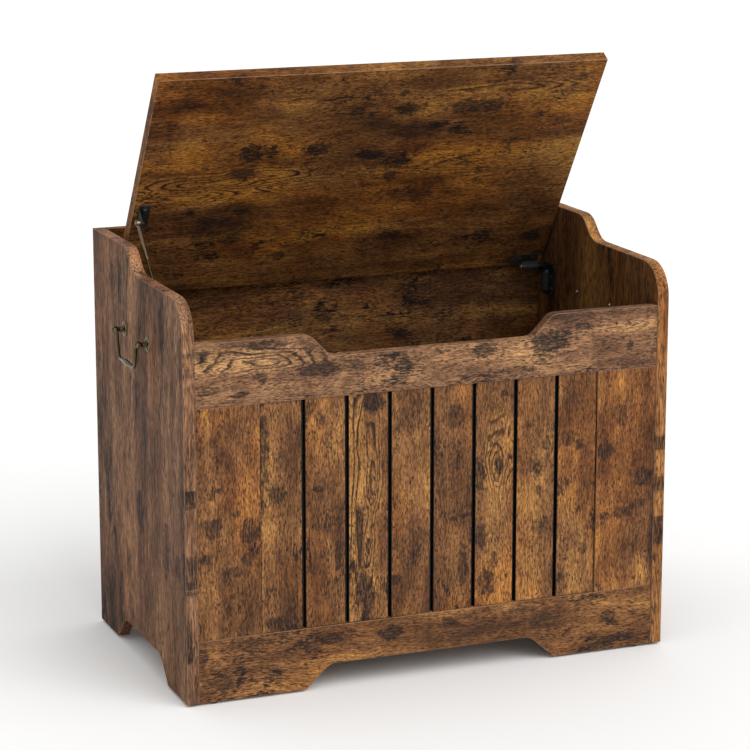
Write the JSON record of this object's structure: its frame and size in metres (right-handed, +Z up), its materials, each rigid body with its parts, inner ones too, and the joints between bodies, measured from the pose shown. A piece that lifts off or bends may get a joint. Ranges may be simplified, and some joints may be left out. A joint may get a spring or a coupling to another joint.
{
  "type": "wooden toy box",
  "caption": "Wooden toy chest with a hinged lid propped open, planked front, swept side panels, drop handles and a lid stay.",
  "frame": {"origin": "on the floor, at the middle of the footprint of the box", "axes": "+X to the right seen from the front, +Y from the front to the back, +Z up"},
  "size_m": [0.801, 0.43, 0.8868],
  "materials": {
    "side_laminate": "rustic brown wood-print laminate, satin",
    "lid_laminate": "rustic brown wood-print laminate, satin",
    "inner_laminate": "rustic brown wood-print laminate, satin",
    "plank_laminate": "rustic brown wood-print laminate, satin",
    "frame_laminate": "rustic brown wood-print laminate, satin",
    "groove_black": "matt black hardboard",
    "dowel_wood": "plain beech",
    "cleat_wood": "brown laminate batten",
    "glide_plastic": "matt black",
    "black_screw": "black oxide",
    "zinc_screw": "zinc plated",
    "damper_plastic": "satin black",
    "pin_steel": "blackened steel",
    "black_metal": "black powder coat",
    "stay_bronze": "antique bronze plating",
    "antique_bronze": "antique bronze plating, rubbed"
  },
  "bodies": {
    "case": {"back_panel": "inner_laminate", "bottom_cleat_back": "cleat_wood", "bottom_cleat_front": "cleat_wood", "bottom_cleat_left": "cleat_wood", "bottom_cleat_right": "cleat_wood", "bottom_cleat_screws": "zinc_screw", "bottom_panel": "inner_laminate", "dowels_left": "dowel_wood", "dowels_right": "dowel_wood", "foot_glide_back_left": "glide_plastic", "foot_glide_back_right": "glide_plastic", "foot_glide_front_left": "glide_plastic", "foot_glide_front_right": "glide_plastic", "front_backing_board": "groove_black", "front_bottom_rail": "frame_laminate", "front_frame_dowels": "dowel_wood", "front_plank_1": "plank_laminate", "front_plank_2": "plank_laminate", "front_plank_3": "plank_laminate", "front_plank_4": "plank_laminate", "front_plank_5": "plank_laminate", "front_plank_6": "plank_laminate", "front_plank_7": "plank_laminate", "front_plank_8": "plank_laminate", "front_stile_left": "frame_laminate", "front_stile_right": "frame_laminate", "front_top_rail": "frame_laminate", "handle_post_left_back": "antique_bronze", "handle_post_left_front": "antique_bronze", "handle_post_right_back": "antique_bronze", "handle_post_right_front": "antique_bronze", "handle_screws_left": "zinc_screw", "handle_screws_right": "zinc_screw", "hinge_housing_left": "damper_plastic", "hinge_housing_right": "damper_plastic", "hinge_housing_screws_left": "black_screw", "hinge_housing_screws_right": "black_screw", "hinge_pin_left": "pin_steel", "hinge_pin_right": "pin_steel", "side_panel_left": "side_laminate", "side_panel_right": "side_laminate", "stay_track": "black_metal", "stay_track_screws": "black_screw"},
    "lid": {"hinge_leaf_left": "black_metal", "hinge_leaf_right": "black_metal", "hinge_leaf_screws_left": "black_screw", "hinge_leaf_screws_right": "black_screw", "lid_panel": "lid_laminate", "stay_bracket": "black_metal", "stay_bracket_screws": "black_screw", "stay_rivet": "stay_bronze"},
    "stay": {"stay_rod": "stay_bronze", "stay_slide_pin": "stay_bronze"},
    "left_handle": {"handle_bail_left": "antique_bronze"},
    "right_handle": {"handle_bail_right": "antique_bronze"}
  },
  "joints": [
    {"name": "lid_hinge", "type": "hinge", "parent": "case", "child": "lid", "pos_m": [0, 0.171, 0.5225], "axis": [-1, 0, 0], "range_deg": [-57, 0]},
    {"name": "stay_pivot", "type": "hinge", "parent": "lid", "child": "stay", "pos_m": [-0.3455, 0.07937, 0.65258], "axis": [-1, 0, 0], "range_deg": [-1, 106]},
    {"name": "left_handle_swing", "type": "hinge", "parent": "case", "child": "left_handle", "pos_m": [-0.395, 0, 0.5], "axis": [0, 1, 0], "range_deg": [-12, 105]},
    {"name": "right_handle_swing", "type": "hinge", "parent": "case", "child": "right_handle", "pos_m": [0.395, 0, 0.5], "axis": [0, -1, 0], "range_deg": [-12, 105]}
  ],
  "couplings": [
    {"joint": "stay_pivot", "follows": "lid_hinge", "ratio": -1.8309}
  ]
}
